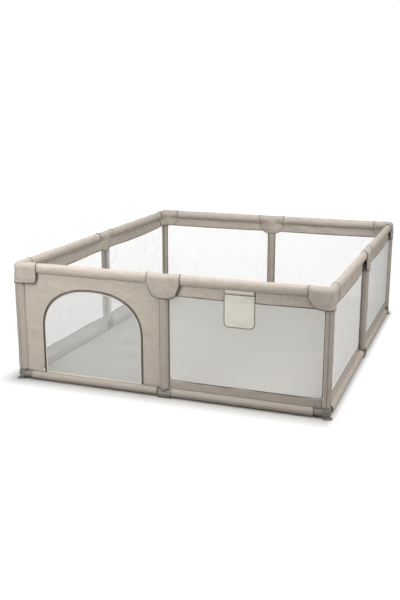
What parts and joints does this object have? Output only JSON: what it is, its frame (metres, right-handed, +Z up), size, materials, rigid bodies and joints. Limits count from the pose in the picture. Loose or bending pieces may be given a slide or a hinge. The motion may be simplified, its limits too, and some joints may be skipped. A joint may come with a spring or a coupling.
{
  "type": "playpen",
  "caption": "Rectangular fabric playpen: padded top rail, see-through mesh walls, an arched zip door at the front, a hanging pocket and suction-cup feet.",
  "frame": {"origin": "on the floor, at the middle of the footprint", "axes": "+Z up; the wall with the door faces -Y, and +X runs to the right along it as seen from outside; +Y runs to the back wall"},
  "size_m": [1.766, 2.116, 0.66],
  "materials": {
    "steel_tube": "plain drawn steel tube, satin",
    "joint_plastic": "moulded warm grey plastic, matte",
    "foot_plastic": "moulded warm grey plastic, fine satin",
    "cup_rubber": "soft dark grey rubber, satin",
    "cover_linen": "linen-look polyester weave, sand beige, matte",
    "hood_linen": "the same linen-look weave over thick padding, matte",
    "window_mesh": "fine white polyester net, see-through",
    "pocket_mesh": "fine beige net with dark binding",
    "zip_trim": "taupe enamel",
    "pull_cream": "cream soft-touch plastic"
  },
  "bodies": {
    "frame": {"bottom_rail_back_left": "steel_tube", "bottom_rail_back_right": "steel_tube", "bottom_rail_front_left": "steel_tube", "bottom_rail_front_right": "steel_tube", "bottom_rail_left_back": "steel_tube", "bottom_rail_left_front": "steel_tube", "bottom_rail_right_back": "steel_tube", "bottom_rail_right_front": "steel_tube", "cover_back": "cover_linen", "cover_front": "cover_linen", "cover_left": "cover_linen", "cover_right": "cover_linen", "foot_back_left": "foot_plastic", "foot_back_middle": "foot_plastic", "foot_back_right": "foot_plastic", "foot_front_left": "foot_plastic", "foot_front_middle": "foot_plastic", "foot_front_right": "foot_plastic", "foot_left_middle": "foot_plastic", "foot_right_middle": "foot_plastic", "joint_hood_back_left": "hood_linen", "joint_hood_back_middle": "hood_linen", "joint_hood_back_right": "hood_linen", "joint_hood_front_left": "hood_linen", "joint_hood_front_middle": "hood_linen", "joint_hood_front_right": "hood_linen", "joint_hood_left_middle": "hood_linen", "joint_hood_right_middle": "hood_linen", "pocket": "pocket_mesh", "post_back_left": "steel_tube", "post_back_middle": "steel_tube", "post_back_right": "steel_tube", "post_front_left": "steel_tube", "post_front_middle": "steel_tube", "post_front_right": "steel_tube", "post_left_middle": "steel_tube", "post_right_middle": "steel_tube", "suction_cup_back_left": "cup_rubber", "suction_cup_back_right": "cup_rubber", "suction_cup_front_left": "cup_rubber", "suction_cup_front_right": "cup_rubber", "top_corner_back_left": "joint_plastic", "top_corner_back_right": "joint_plastic", "top_corner_front_left": "joint_plastic", "top_corner_front_right": "joint_plastic", "top_rail_back_left": "steel_tube", "top_rail_back_right": "steel_tube", "top_rail_front_left": "steel_tube", "top_rail_front_right": "steel_tube", "top_rail_left_back": "steel_tube", "top_rail_left_front": "steel_tube", "top_rail_right_back": "steel_tube", "top_rail_right_front": "steel_tube", "top_tee_back": "joint_plastic", "top_tee_front": "joint_plastic", "top_tee_left": "joint_plastic", "top_tee_right": "joint_plastic"},
    "door": {"door_panel": "window_mesh"},
    "slider": {"zip_slider": "zip_trim"},
    "pull": {"zip_pull": "pull_cream"}
  },
  "joints": [
    {"name": "door_flap", "type": "hinge", "parent": "frame", "child": "door", "pos_m": [-0.417, -1.025, 0.0508], "axis": [1, 0, 0], "range_deg": [-95, 95]},
    {"name": "zip_slide", "type": "slide", "parent": "frame", "child": "slider", "axis": [0, 0, 1], "range_m": [0, 0.21]},
    {"name": "pull_swing", "type": "hinge", "parent": "slider", "child": "pull", "pos_m": [-0.713, -1.033, 0.077], "axis": [1, 0, 0], "range_deg": [-170, 0]}
  ]
}
